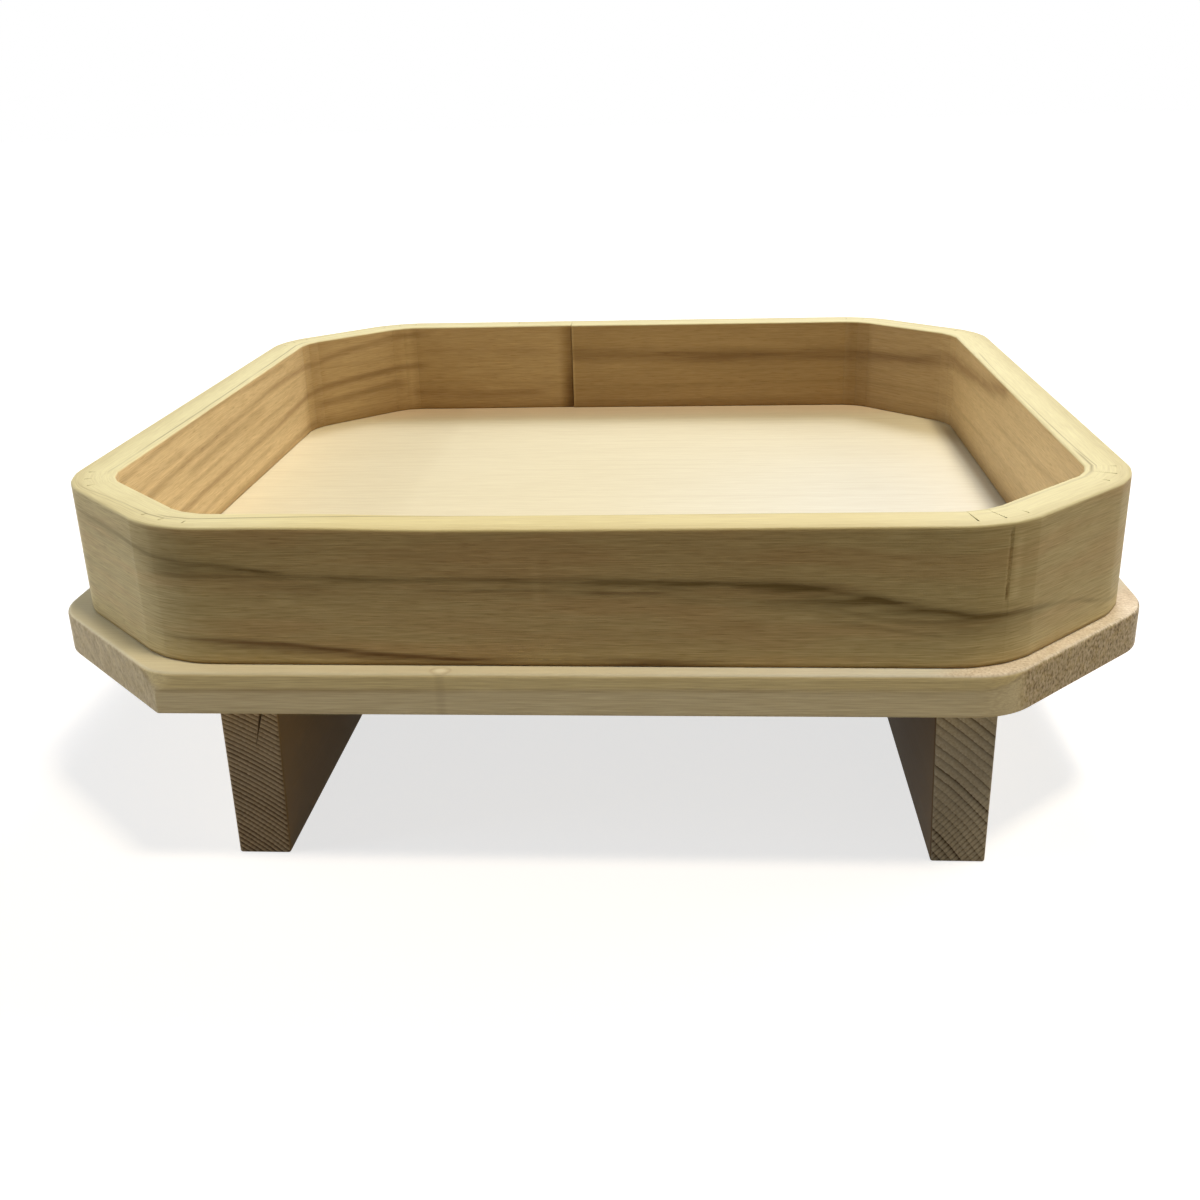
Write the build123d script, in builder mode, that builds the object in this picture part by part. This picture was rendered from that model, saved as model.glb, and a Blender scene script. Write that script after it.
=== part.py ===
from build123d import *
from math import sqrt
import os

# Footed offering stand: an octagonal board on two plank feet, with a low rim
# bent from one strip of wood. Millimetres, +Z up, front at -Y. The origin is on
# the ground under the middle of the board.

# Board
board_width = 151.5  # five sun, the nominal size of the stand
board_depth = 151.5
board_thickness = 5.7
board_corner_radius = 10.0
board_edge_ease = 0.5

# Rim hoop
ledge = 2.35  # how much of the board shows outside the rim
rim_wall = 6.0
rim_height = 18.4
corner_cut = 20.7  # leg of the cut across each corner, on the rim's outer face
bend_radius = 16.0  # outer face of each bend
rim_edge_ease = 0.5
rim_foot_ease = 0.3

# Saw kerfs inside each bend, closed by the bending
kerfs_per_bend = 3
kerf_depth = 4.2
kerf_root_width = 0.4
kerf_mouth_width = 0.1

# Half-lap joint that closes the hoop, in the back wall
joint_x = -12.5
lap_length = 12.0
glue_line = 0.12
joint_step = 0.4  # how far the right-hand end stands proud of the left one
thinned_length = 24.0  # stretch over which the left-hand end is planed thinner

# Feet
foot_height = 22.8
foot_thickness = 7.75
foot_setback = 3.4  # from the board's front and back edges
foot_spacing = 92.2  # between the middles of the two feet
foot_shift = 2.7  # of the pair, to the right of the board's middle
foot_taper = 0.7  # how much the inner face leans in towards the ground
foot_edge_ease = 0.4

# Four-sided bamboo pegs driven up through the board into the rim
peg_head_width = 1.8
peg_length = 15.0
peg_taper = 1.8  # degrees on each side, towards the point
peg_spacing = 60.0  # between the two pegs of a long wall

# Dowels between the board and the feet
dowels_per_foot = 3
dowel_spacing = 50.0
dowel_diameter = 4.0
dowel_depth_in_board = 3.6
dowel_depth_in_foot = 9.0
dowel_end_gap = 0.3  # room for glue at each end of a socket
dowel_end_ease = 0.4

cut_overrun = 0.2  # how far a cut runs past the face that it opens

# What follows from the sizes above
board_top = foot_height + board_thickness
board_cut = corner_cut + ledge * (2 - sqrt(2))  # keeps the ledge even at the corners
rim_width = board_width - 2 * ledge
rim_depth = board_depth - 2 * ledge
half_wall = rim_wall / 2
outer_face_y = rim_depth / 2
inner_face_y = outer_face_y - rim_wall
lap_y = outer_face_y - half_wall
foot_length = board_depth - 2 * foot_setback
foot_outer_x = (foot_spacing + foot_thickness) / 2  # from the middle of the pair
foot_inner_x = (foot_spacing - foot_thickness) / 2
dowel_bottom = foot_height - dowel_depth_in_foot + dowel_end_gap
dowel_length = dowel_depth_in_board + dowel_depth_in_foot - 2 * dowel_end_gap

# Pegs stand under the middle of the wall: two in each long wall, one in each cut
long_wall_x = rim_width / 2 - half_wall
long_wall_y = rim_depth / 2 - half_wall
cut_wall_x = rim_width / 2 - corner_cut / 2 - half_wall / sqrt(2)
cut_wall_y = rim_depth / 2 - corner_cut / 2 - half_wall / sqrt(2)
peg_places = [
    *GridLocations(peg_spacing, 2 * long_wall_y, 2, 2),
    *GridLocations(2 * long_wall_x, peg_spacing, 2, 2),
    *GridLocations(2 * cut_wall_x, 2 * cut_wall_y, 2, 2),
]

# Pegs: flush with the board's underside, tapering upwards
with BuildPart() as rim_pegs:
    with BuildSketch(Plane.XY.offset(foot_height)) as peg_heads:
        with Locations(*peg_places):
            Rectangle(peg_head_width, peg_head_width)
    extrude(amount=peg_length, taper=peg_taper)

# Rim: one strip, bent at eight kerfed corners and lapped at its ends
with BuildPart() as rim_hoop:
    with BuildSketch(Plane.XY.offset(board_top)) as rim_outline:
        Rectangle(rim_width, rim_depth)
        chamfer(rim_outline.vertices(), corner_cut)
        fillet(rim_outline.vertices(), bend_radius)
        bends = rim_outline.edges().filter_by(GeomType.CIRCLE)
        offset(amount=-rim_wall, mode=Mode.SUBTRACT)
    extrude(amount=rim_height)
    chamfer(rim_hoop.edges().group_by(Axis.Z)[-1], rim_edge_ease)
    chamfer(rim_hoop.edges().group_by(Axis.Z)[0], rim_foot_ease)

    # Kerfs are spaced along each bend and run from the outer face towards its centre
    kerf_places = []
    for bend in bends:
        for number in range(kerfs_per_bend):
            on_outer_face = bend @ ((number + 0.5) / kerfs_per_bend)
            inward = bend.arc_center - on_outer_face
            kerf_places.append(Plane(on_outer_face, x_dir=inward, z_dir=(0, 0, 1)).location)
    with BuildSketch(Plane.XY.offset(board_top)) as kerfs:
        with Locations(*kerf_places):
            Polygon(
                (rim_wall - kerf_depth, -kerf_root_width / 2),
                (rim_wall + cut_overrun, -kerf_mouth_width / 2),
                (rim_wall + cut_overrun, kerf_mouth_width / 2),
                (rim_wall - kerf_depth, kerf_root_width / 2),
                align=None,
            )
    extrude(amount=rim_height, mode=Mode.SUBTRACT)

    # The left-hand end is planed thinner towards the joint
    with BuildSketch(Plane.XY.offset(board_top)) as thinning:
        with BuildLine():
            Polyline(
                (joint_x, inner_face_y - cut_overrun),
                (joint_x, inner_face_y + joint_step),
                (joint_x - thinned_length, inner_face_y),
                (joint_x - thinned_length, inner_face_y - cut_overrun),
                close=True,
            )
        make_face()
    extrude(amount=rim_height, mode=Mode.SUBTRACT)

    # Glue line of the half-lap, from the inner face to the outer one
    with BuildSketch(Plane.XY.offset(board_top)) as lap_joint:
        with BuildLine():
            Polyline(
                (joint_x, inner_face_y - cut_overrun),
                (joint_x, lap_y),
                (joint_x - lap_length, lap_y),
                (joint_x - lap_length, outer_face_y + cut_overrun),
            )
        trace(line_width=glue_line)
    extrude(amount=rim_height, mode=Mode.SUBTRACT)

    # Each peg fills a hole of its own shape
    add(rim_pegs.part, mode=Mode.SUBTRACT)

# Left foot: a plank on edge, its outer face upright and its inner face leaning
with BuildPart() as left_foot:
    with BuildSketch(Plane.XZ.offset(-foot_length / 2)) as foot_section:
        with BuildLine():
            Polyline(
                (foot_shift - foot_outer_x, 0),
                (foot_shift - foot_inner_x - foot_taper, 0),
                (foot_shift - foot_inner_x, foot_height),
                (foot_shift - foot_outer_x, foot_height),
                close=True,
            )
        make_face()
    extrude(amount=foot_length)
    chamfer(left_foot.edges().group_by(Axis.Z)[0], foot_edge_ease)
    with Locations(Plane((foot_shift - foot_spacing / 2, 0, foot_height))):
        with GridLocations(0, dowel_spacing, 1, dowels_per_foot):
            Hole(dowel_diameter / 2, dowel_depth_in_foot)

# Dowels: glued half in the foot and half in the board
with BuildPart() as left_foot_dowels:
    with Locations(Plane((foot_shift - foot_spacing / 2, 0, dowel_bottom))):
        with GridLocations(0, dowel_spacing, 1, dowels_per_foot):
            Cylinder(dowel_diameter / 2, dowel_length, align=(Align.CENTER, Align.CENTER, Align.MIN))
    chamfer(left_foot_dowels.edges().filter_by(GeomType.CIRCLE), dowel_end_ease)

# The right foot and its dowels mirror the left ones about the middle of the pair
pair_middle = Plane.YZ.offset(foot_shift)
with BuildPart() as right_foot:
    mirror(left_foot.part, about=pair_middle)
with BuildPart() as right_foot_dowels:
    mirror(left_foot_dowels.part, about=pair_middle)

# Board: the rim stands on it, the feet are dowelled under it
with BuildPart() as base_board:
    with BuildSketch(Plane.XY.offset(foot_height)) as board_outline:
        Rectangle(board_width, board_depth)
        chamfer(board_outline.vertices(), board_cut)
        fillet(board_outline.vertices(), board_corner_radius)
    extrude(amount=board_thickness)
    chamfer(base_board.edges().group_by(Axis.Z)[-1], board_edge_ease)
    chamfer(base_board.edges().group_by(Axis.Z)[0], board_edge_ease)
    underside = Plane((foot_shift, 0, foot_height), z_dir=(0, 0, -1))
    with Locations(underside):
        with GridLocations(foot_spacing, dowel_spacing, 2, dowels_per_foot):
            Hole(dowel_diameter / 2, dowel_depth_in_board)
    add(rim_pegs.part, mode=Mode.SUBTRACT)

os.makedirs("parts", exist_ok=True)
named_parts = {
    "base_board": base_board,
    "rim_hoop": rim_hoop,
    "left_foot": left_foot,
    "right_foot": right_foot,
    "rim_pegs": rim_pegs,
    "left_foot_dowels": left_foot_dowels,
    "right_foot_dowels": right_foot_dowels,
}
for name, builder in named_parts.items():
    builder.part.label = name
    export_step(builder.part, f"parts/{name}.step")
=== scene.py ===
from math import ceil, cos, degrees, pi, radians, sin, sqrt, tan

import bmesh
import bpy
from mathutils import Matrix, Vector


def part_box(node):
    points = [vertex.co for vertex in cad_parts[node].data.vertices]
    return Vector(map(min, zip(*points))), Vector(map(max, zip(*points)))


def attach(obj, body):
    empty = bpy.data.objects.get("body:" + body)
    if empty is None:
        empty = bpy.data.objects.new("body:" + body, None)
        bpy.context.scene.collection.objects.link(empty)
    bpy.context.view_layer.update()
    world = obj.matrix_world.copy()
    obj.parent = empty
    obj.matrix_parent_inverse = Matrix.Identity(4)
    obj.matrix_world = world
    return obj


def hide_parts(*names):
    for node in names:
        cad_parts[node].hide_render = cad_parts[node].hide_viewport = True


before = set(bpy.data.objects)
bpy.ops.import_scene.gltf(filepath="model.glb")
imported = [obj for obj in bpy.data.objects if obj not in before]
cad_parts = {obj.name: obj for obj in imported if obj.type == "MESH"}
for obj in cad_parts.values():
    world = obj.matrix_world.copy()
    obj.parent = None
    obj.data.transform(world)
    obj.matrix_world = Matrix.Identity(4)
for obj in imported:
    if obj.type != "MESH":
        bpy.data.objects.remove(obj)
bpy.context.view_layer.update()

# Looks of the footed offering stand: a low rim bent from one strip of pale wood,
# an octagonal board and two plank feet. Lengths are in millimetres and turned
# into metres where a mesh, a lamp or the camera is made.
MM = 0.001


def node_box(node):
    """Lowest and highest corner of a CAD node, in millimetres."""
    low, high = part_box(node)
    return low / MM, high / MM


board_low, board_high = node_box("base_board")
rim_low, rim_high = node_box("rim_hoop")
board_width, board_depth, board_thickness = board_high - board_low
rim_width, rim_depth, rim_height = rim_high - rim_low
ledge = (board_width - rim_width) / 2

# Sizes that a node's box doesn't tell, as the CAD model has them
rim_wall = 6.0
corner_cut = 20.7
bend_radius = 16.0
board_corner_radius = 10.0
odd_corner_radii = (0.6, 9.0)  # of the corner in front on the left, sharp below and worn above
front_cut_shifts = (-0.4, 0.5)  # what the left and right front cuts of the board have more
kerf_angles = (7.5, 22.5, 37.5)  # degrees into each bend
kerf_shifts = {3: -4.7, 4: 3.6}  # degrees that the kerfs of a bend are off those places
kerf_depth = 4.2
kerf_root_width = 0.26
shut_kerf_width = 0.01
shut_kerf_depth = 1.2  # length of the open pocket at the root of a kerf that is pressed shut
open_kerfs = {4: (1.0, 0.7, 0.0), 5: (0.0, 0.5, 0.0)}  # how far the kerfs of a bend gape
joint_x = -12.5
lap_length = 12.0
glue_line = 0.12
joint_step = 0.4
thinned_length = 24.0
foot_taper = 0.7

# Roundings that a used edge has
rim_top_ease = 0.35
rim_foot_ease = 0.3
board_top_ease = 0.5
board_low_ease = 0.15
foot_ease = 0.35

# The hoop is a little out of square, and its top edge is planed lower in front
hoop_skew = -0.008  # of y against x
hoop_squeeze = 0.0031  # of its width, in front
hoop_shift = -0.23  # to the side, in front
planed_off = 0.35

ease_steps = 4  # faces across a rounded edge
edge_margin = 0.3  # flat strip beside a rounding, which keeps the wide faces flat
sharp_edge = 35.0  # degrees; sharper edges aren't smoothed


# Meshes

def make_piece(name, points, faces, grain_points=None):
    """A closed mesh. grain_points say where each point lies in the straight wood."""
    mesh = bpy.data.meshes.new(name)
    mesh.from_pydata([Vector(point) * MM for point in points], [], faces)
    shape = bmesh.new()
    shape.from_mesh(mesh)
    bmesh.ops.recalc_face_normals(shape, faces=shape.faces)
    shape.to_mesh(mesh)
    shape.free()
    if grain_points:
        grain = mesh.attributes.new("grain", "FLOAT_VECTOR", "POINT")
        for item, point in zip(grain.data, grain_points):
            item.vector = Vector(point) * MM
    mesh.shade_smooth()
    mesh.set_sharp_from_angle(angle=radians(sharp_edge))
    piece = bpy.data.objects.new(name, mesh)
    bpy.context.scene.collection.objects.link(piece)
    return piece


def dress(piece, node, material):
    """Puts a detailed piece in the place of a CAD node."""
    piece.data.materials.append(material)
    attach(piece, "root")
    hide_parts(node)


def ease_arc(radius, start, steps=ease_steps):
    """Quarter circle about the origin, from the angle start on, in degrees."""
    angles = [radians(start + 90 * step / steps) for step in range(steps + 1)]
    return [(radius * cos(angle), radius * sin(angle)) for angle in angles]


# Rim: a straight strip of wood, given by its length s, its depth t from the outer
# face and its height z, is bent round the board. It starts at the joint in the
# back wall and runs by the left, the front and the right.

bend_trim = bend_radius * tan(radians(22.5))
long_wall = rim_width - 2 * corner_cut - 2 * bend_trim
cut_wall = corner_cut * sqrt(2) - 2 * bend_trim
bend_length = bend_radius * pi / 4
first_wall = rim_width / 2 - corner_cut - bend_trim + joint_x
wall_lengths = [first_wall, *[cut_wall, long_wall] * 3, cut_wall, long_wall - first_wall]
hoop_length = sum(wall_lengths) + 8 * bend_length
kerf_root = rim_wall - kerf_depth


def lay_out_hoop():
    """Walls and bends of the outer face in turn: (start s, length, start point, heading, kerfs).
    kerfs are the angles of the kerfs into a bend and how far they gape, and None for a wall."""
    stretches = []
    s, point, heading = 0.0, Vector((joint_x, rim_depth / 2)), pi
    for number, length in enumerate(wall_lengths):
        stretches.append((s, length, point, heading, None))
        s += length
        point = point + Vector((cos(heading), sin(heading))) * length
        if number < len(wall_lengths) - 1:
            angles = [angle + kerf_shifts.get(number, 0.0) for angle in kerf_angles]
            kerfs = list(zip(angles, open_kerfs.get(number, (0.0, 0.0, 0.0))))
            stretches.append((s, bend_length, point, heading, kerfs))
            s += bend_length
            centre = point + Vector((-sin(heading), cos(heading))) * bend_radius
            heading += pi / 4
            point = centre + Vector((sin(heading), -cos(heading))) * bend_radius
    return stretches


hoop = lay_out_hoop()


def even_angle(angle, kerfs):
    """The angle in a bend whose kerfs are evenly spaced, for one in a bend with these kerfs."""
    marks = [0.0, *[kerf for kerf, _ in kerfs], 45.0]
    even_marks = [0.0, *kerf_angles, 45.0]
    for low, high, even_low, even_high in zip(marks, marks[1:], even_marks, even_marks[1:]):
        if angle <= high + 1e-6:
            return even_low + (even_high - even_low) * (angle - low) / (high - low)
    return 45.0


def block_swell(angle, kerfs, t):
    """How much further out a point of a bend lies because wood between kerfs stays straight."""
    kerf_step = kerf_angles[1] - kerf_angles[0]
    even = even_angle(angle, kerfs)
    off_middle = radians(even - kerf_step * round(even / kerf_step))
    straightness = 1.0 if t > kerf_root else 0.35
    return 1 + straightness * (1 / cos(off_middle) - 1)


def bend_point(s, t, z, side=0.0):
    """Where a point of the straight strip ends up. side pushes it along the strip."""
    start, length, point, heading, kerfs = next(
        stretch for stretch in reversed(hoop) if s >= stretch[0] - 1e-6
    )
    along = Vector((cos(heading), sin(heading)))
    inward = Vector((-sin(heading), cos(heading)))
    if kerfs and s - start <= length:
        angle = (s - start) / bend_radius
        centre = point + inward * bend_radius
        outward = -inward * cos(angle) + along * sin(angle)
        onward = along * cos(angle) + inward * sin(angle)
        swell = block_swell(degrees(angle), kerfs, t)
        place = centre + outward * (bend_radius - t) * swell + onward * side
    else:
        place = point + along * (s - start + side) + inward * t
    frontness = (rim_high.y - place.y) / (rim_high.y - rim_low.y)
    aside = frontness * (hoop_shift - hoop_squeeze * place.x)
    return (place.x + aside, place.y + place.x * hoop_skew, rim_low.z + z)


def kerf_width(gape, t):
    """Width of a kerf at a depth in the strip: a wedge, or only a pocket where it is shut."""
    deep = max(0.0, t - kerf_root)
    wedge = kerf_root_width * (1 - deep / kerf_depth)
    pocket = kerf_root_width * max(0.0, 1 - deep / shut_kerf_depth)
    return max(shut_kerf_width, gape * wedge + (1 - gape) * pocket)


def smooth_rise(value, low, high):
    share = min(max((value - low) / (high - low), 0.0), 1.0)
    return share * share * (3 - 2 * share)


def planed_lower(s):
    """How much lower the top edge lies, deepest left of the middle of the front wall."""
    return planed_off * smooth_rise(s, 218.0, 238.0) * (1 - smooth_rise(s, 238.0, 310.0))


# A crease in the outer face, across the middle kerf of the front right-hand bend
crease_bend = 4
crease_angle = 24.6  # degrees into that bend
crease_half_width = 0.3
crease_depth = 0.18
crease_low, crease_high = 8.5, 17.2


def crease_place():
    start = sum(wall_lengths[: crease_bend + 1]) + crease_bend * bend_length
    return start + radians(crease_angle) * bend_radius


crease_s = crease_place()


def outer_face_dent(s, z):
    """Depth of the crease at a point of the outer face."""
    aside = abs(s - crease_s) / crease_half_width
    if aside > 0.99 or z < crease_low + 0.01 or z > crease_high + 0.01:
        return 0.0
    return crease_depth * (1 - aside)


def rim_section():
    """Closed section of the strip as (t, z), from the kerf root on its foot round the outer face."""
    foot, top = rim_foot_ease, rim_top_ease
    near_foot, near_top = foot + edge_margin, top + edge_margin
    middle = rim_wall / 2
    section = [(kerf_root, 0), (near_foot, 0)]
    section += [(foot + x, foot + z) for x, z in reversed(ease_arc(foot, 180))]
    levels = [near_foot, 3.0, 6.0, crease_low, 11.5, 14.5, crease_high, rim_height - near_top]
    section += [(0, level) for level in levels]
    section += [(top + x, rim_height - top + z) for x, z in reversed(ease_arc(top, 90))]
    section += [(near_top, rim_height), (kerf_root, rim_height), (middle, rim_height)]
    section += [(rim_wall - near_top, rim_height)]
    section += [(rim_wall - top + x, rim_height - top + z) for x, z in reversed(ease_arc(top, 0))]
    section += [(rim_wall, level) for level in reversed(levels)]
    section += [(rim_wall - foot + x, foot + z) for x, z in reversed(ease_arc(foot, 270))]
    section += [(rim_wall - near_foot, 0), (middle, 0)]
    return section


def rim_stations():
    """Places along the strip where it has a ring of points: (s, kerf side, how far it gapes)."""
    station_gap = 6.0
    bend_steps = 12
    half_glue = glue_line / 2
    stations = []
    for start, length, _, _, kerfs in hoop:
        if kerfs:
            for kerf, gape in kerfs:
                kerf_s = start + radians(kerf) * bend_radius
                stations += [(kerf_s, -1, gape), (kerf_s, 1, gape)]
            for step in range(1, bend_steps + 1):
                angle = 45 * step / bend_steps
                if min(abs(angle - kerf) for kerf, _ in kerfs) > 1.5:
                    stations.append((start + length * step / bend_steps, 0, 0))
        else:
            count = ceil(length / station_gap)
            stations += [(start + edge_margin, 0, 0), (start + length - edge_margin, 0, 0)]
            stations += [(start + length * step / count, 0, 0) for step in range(1, count + 1)]
    stations += [(crease_s + crease_half_width * side, 0, 0) for side in (-1, 0, 1)]
    shoulder = lap_length + half_glue
    ends = [half_glue, shoulder, hoop_length - half_glue, hoop_length + lap_length - half_glue]
    stations += [(end, 0, 0) for end in ends]
    last = hoop_length - half_glue
    kept = [
        (s, side, gape)
        for s, side, gape in stations
        if s in ends or (half_glue < s < last and abs(s - shoulder) > edge_margin)
    ]
    return sorted(kept)


def build_rim():
    """The whole strip with its kerfs and both halves of the lap joint."""
    section = rim_section()
    top_root = section.index((kerf_root, rim_height))
    top_middle = top_root + 1
    bottom_middle = len(section) - 1
    outer_run = [bottom_middle, *range(top_middle + 1)]
    inner_run = list(range(top_middle, bottom_middle + 1))
    web_run = list(range(top_root + 1))
    block_run = [*range(top_root, bottom_middle + 1), 0]
    shoulder = lap_length + glue_line / 2
    last = hoop_length - glue_line / 2

    points, grain_points, rings, faces = [], [], [], []
    for s, side, gape in rim_stations():
        ring = []
        for index, (t, z) in enumerate(section):
            if index in (top_middle, bottom_middle):
                t += glue_line / 2 if s < hoop_length / 2 else -glue_line / 2
            elif t > rim_wall / 2 and s < thinned_length:
                t -= joint_step * (1 - s / thinned_length)
            elif t == 0:
                t = outer_face_dent(s, z)
            push = side * kerf_width(gape, t) / 2
            lower = planed_lower(s) if z > crease_high + edge_margin else 0.0
            ring.append(len(points))
            points.append(bend_point(s, t, z - lower, push))
            grain_points.append((s + push, t, z))
        rings.append((s, side, ring))

    def skin(first, second, run, closed=False):
        pairs = list(zip(run, run[1:])) + ([(run[-1], run[0])] if closed else [])
        for a, b in pairs:
            faces.append((first[a], first[b], second[b], second[a]))

    for (s, side, ring), (next_s, next_side, next_ring) in zip(rings, rings[1:]):
        if next_s <= shoulder + 1e-6:
            skin(ring, next_ring, inner_run, closed=True)
        elif s >= last - 1e-6:
            skin(ring, next_ring, outer_run, closed=True)
        elif side == -1:
            skin(ring, next_ring, web_run, closed=True)
            faces.append([ring[index] for index in block_run])
            faces.append([next_ring[index] for index in block_run])
        else:
            skin(ring, next_ring, range(len(section)), closed=True)
    by_s = {s: ring for s, _, ring in rings}
    faces.append([rings[0][2][index] for index in inner_run])
    faces.append([by_s[shoulder][index] for index in outer_run])
    faces.append([by_s[last][index] for index in inner_run])
    faces.append([rings[-1][2][index] for index in outer_run])
    used = sorted({index for face in faces for index in face})
    renumber = {old: new for new, old in enumerate(used)}
    return make_piece(
        "bent_rim",
        [points[index] for index in used],
        [[renumber[index] for index in face] for face in faces],
        [grain_points[index] for index in used],
    )


# Board and feet: convex outlines pulled along an axis, with rounded edges

def inset_corners(corners, distance):
    """Corners of a convex outline after each side has moved inwards."""
    moved = []
    count = len(corners)
    for index in range(count):
        before, corner, after = corners[index - 1], corners[index], corners[(index + 1) % count]
        into = (corner - before).normalized()
        onward = (after - corner).normalized()
        half_turn = into.angle_signed(onward) / 2
        turn = abs(half_turn)
        middle_way = (onward - into).normalized()
        moved.append(corner + middle_way * distance / cos(turn))
    return moved


def rounded_outline(corners, radii, steps):
    """The same outline with an arc at each corner."""
    outline = []
    count = len(corners)
    for index, radius in enumerate(radii):
        before, corner, after = corners[index - 1], corners[index], corners[(index + 1) % count]
        into = (corner - before).normalized()
        onward = (after - corner).normalized()
        turn = into.angle(onward)
        start = corner - into * radius * tan(turn / 2)
        inward = Vector((-into.y, into.x))
        for step in range(steps + 1):
            angle = turn * step / steps
            outline.append(start + into * radius * sin(angle) + inward * radius * (1 - cos(angle)))
    return outline


def edge_rise(ease):
    """A rounded edge as (inset, height), with a flat strip on both sides."""
    arc = [(ease + x, ease + z) for x, z in reversed(ease_arc(ease, 180))]
    return [(ease + edge_margin, 0.0), *arc, (0.0, ease + edge_margin)]


def build_block(name, corners, radii, low, high, eases, place, corner_steps):
    """A block with the given outline between two levels. place turns (u, v, level) into (x, y, z).
    Each corner has two radii, for its lower half and for the high side."""
    loops = [(inset, low + up, 0) for inset, up in edge_rise(eases[0])]
    loops.append((0.0, (low + high) / 2, 0))
    loops += [(inset, high - up, 1) for inset, up in reversed(edge_rise(eases[1]))]
    points, faces = [], []
    for inset, level, half in loops:
        shrunk = inset_corners(corners, inset)
        corner_radii = [max(pair[half] - inset, 0.02) for pair in radii]
        outline = rounded_outline(shrunk, corner_radii, corner_steps)
        points += [place(u, v, level) for u, v in outline]
    around = len(points) // len(loops)
    for loop in range(len(loops) - 1):
        for index in range(around):
            a, b = loop * around + index, loop * around + (index + 1) % around
            faces.append((a, b, b + around, a + around))
    faces.append(list(range(around)))
    faces.append(list(range(len(points) - around, len(points))))
    return make_piece(name, points, faces)


def build_board():
    """The octagonal board, whose cut corners keep the ledge even."""
    cut = corner_cut + ledge * (2 - sqrt(2))
    left_cut, right_cut = (cut + shift for shift in front_cut_shifts)
    x, y = board_width / 2, board_depth / 2
    corners = [
        Vector(corner)
        for corner in [
            (x - right_cut, -y), (x, right_cut - y), (x, y - cut), (x - cut, y),
            (cut - x, y), (-x, y - cut), (-x, left_cut - y), (left_cut - x, -y),
        ]
    ]
    radii = [(board_corner_radius, board_corner_radius)] * 7 + [odd_corner_radii]
    return build_block(
        "octagonal_board", corners, radii, board_low.z, board_high.z, (board_low_ease, board_top_ease),
        lambda u, v, level: (u, v, level), corner_steps=10,
    )


def build_foot(name, node, inner_side):
    """A plank on edge. inner_side is 1 where its leaning face looks to the right."""
    low, high = node_box(node)
    outer_x, inner_x = (low.x, high.x) if inner_side > 0 else (high.x, low.x)
    corners = [
        (outer_x, 0.0),
        (inner_x - inner_side * foot_taper, 0.0),
        (inner_x, high.z),
        (outer_x, high.z),
    ]
    if inner_side < 0:
        corners.reverse()
    return build_block(
        name, [Vector(corner) for corner in corners], [(foot_ease, foot_ease)] * 4, low.y, high.y,
        (foot_ease, foot_ease), lambda u, v, level: (u, level, v), corner_steps=3,
    )


# A drying crack in the front end of the left foot, open at the top

crack_tip = (-43.1, 15.9)  # (x, z)
crack_top_x = -41.2
crack_width = 0.62
crack_length = 6.0  # along the plank


def cut_crack(foot):
    low, high = node_box("left_foot")
    outline = [crack_tip, (crack_top_x + crack_width / 2, high.z + 1), (crack_top_x - crack_width / 2, high.z + 1)]
    ends = (low.y - 1, low.y + crack_length)
    points = [(x, y, z) for y in ends for x, z in outline]
    sides = [(corner, (corner + 1) % 3, (corner + 1) % 3 + 3, corner + 3) for corner in range(3)]
    cutter = make_piece("crack_cutter", points, [(0, 1, 2), (3, 4, 5), *sides])
    modifier = foot.modifiers.new("crack", "BOOLEAN")
    modifier.operation = "DIFFERENCE"
    modifier.solver = "EXACT"
    modifier.object = cutter
    whole = foot.data
    depsgraph = bpy.context.evaluated_depsgraph_get()
    foot.data = bpy.data.meshes.new_from_object(foot.evaluated_get(depsgraph))
    foot.modifiers.clear()
    foot.data.shade_smooth()
    foot.data.set_sharp_from_angle(angle=radians(sharp_edge))
    bpy.data.objects.remove(cutter)
    bpy.data.meshes.remove(whole)
    return foot


# Pegs: four-sided and tapered, their heads planed off just proud of the board

peg_head_width = 1.8
peg_taper = 1.8
peg_proud = 0.08


def build_pegs():
    """All twelve pegs as one piece, two under each long wall and one under each cut."""
    low, high = node_box("rim_pegs")
    peg_spacing = 60.0
    long_way = rim_width / 2 - rim_wall / 2
    cut_way = rim_width / 2 - corner_cut / 2 - rim_wall / 2 / sqrt(2)
    places = []
    for sign in (-1, 1):
        for other in (-1, 1):
            places.append((sign * peg_spacing / 2, other * long_way))
            places.append((sign * long_way, other * peg_spacing / 2))
            places.append((sign * cut_way, other * cut_way))
    points, faces = [], []
    narrow = (high.z - low.z) * tan(radians(peg_taper))
    bevel = 0.06
    levels = [
        (peg_head_width / 2 - bevel, low.z - peg_proud),
        (peg_head_width / 2, low.z - peg_proud + bevel),
        (peg_head_width / 2 - narrow, high.z),
    ]
    for x, y in places:
        base = len(points)
        for half, level in levels:
            points += [(x - half, y - half, level), (x + half, y - half, level)]
            points += [(x + half, y + half, level), (x - half, y + half, level)]
        for loop in range(2):
            for index in range(4):
                a, b = base + 4 * loop + index, base + 4 * loop + (index + 1) % 4
                faces.append((a, b, b + 4, a + 4))
        faces.append([base + index for index in range(4)])
        faces.append([base + 8 + index for index in range(4)])
    return make_piece("bamboo_pegs", points, faces)


# Shader building: a Signal is a number that varies over a surface

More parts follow.
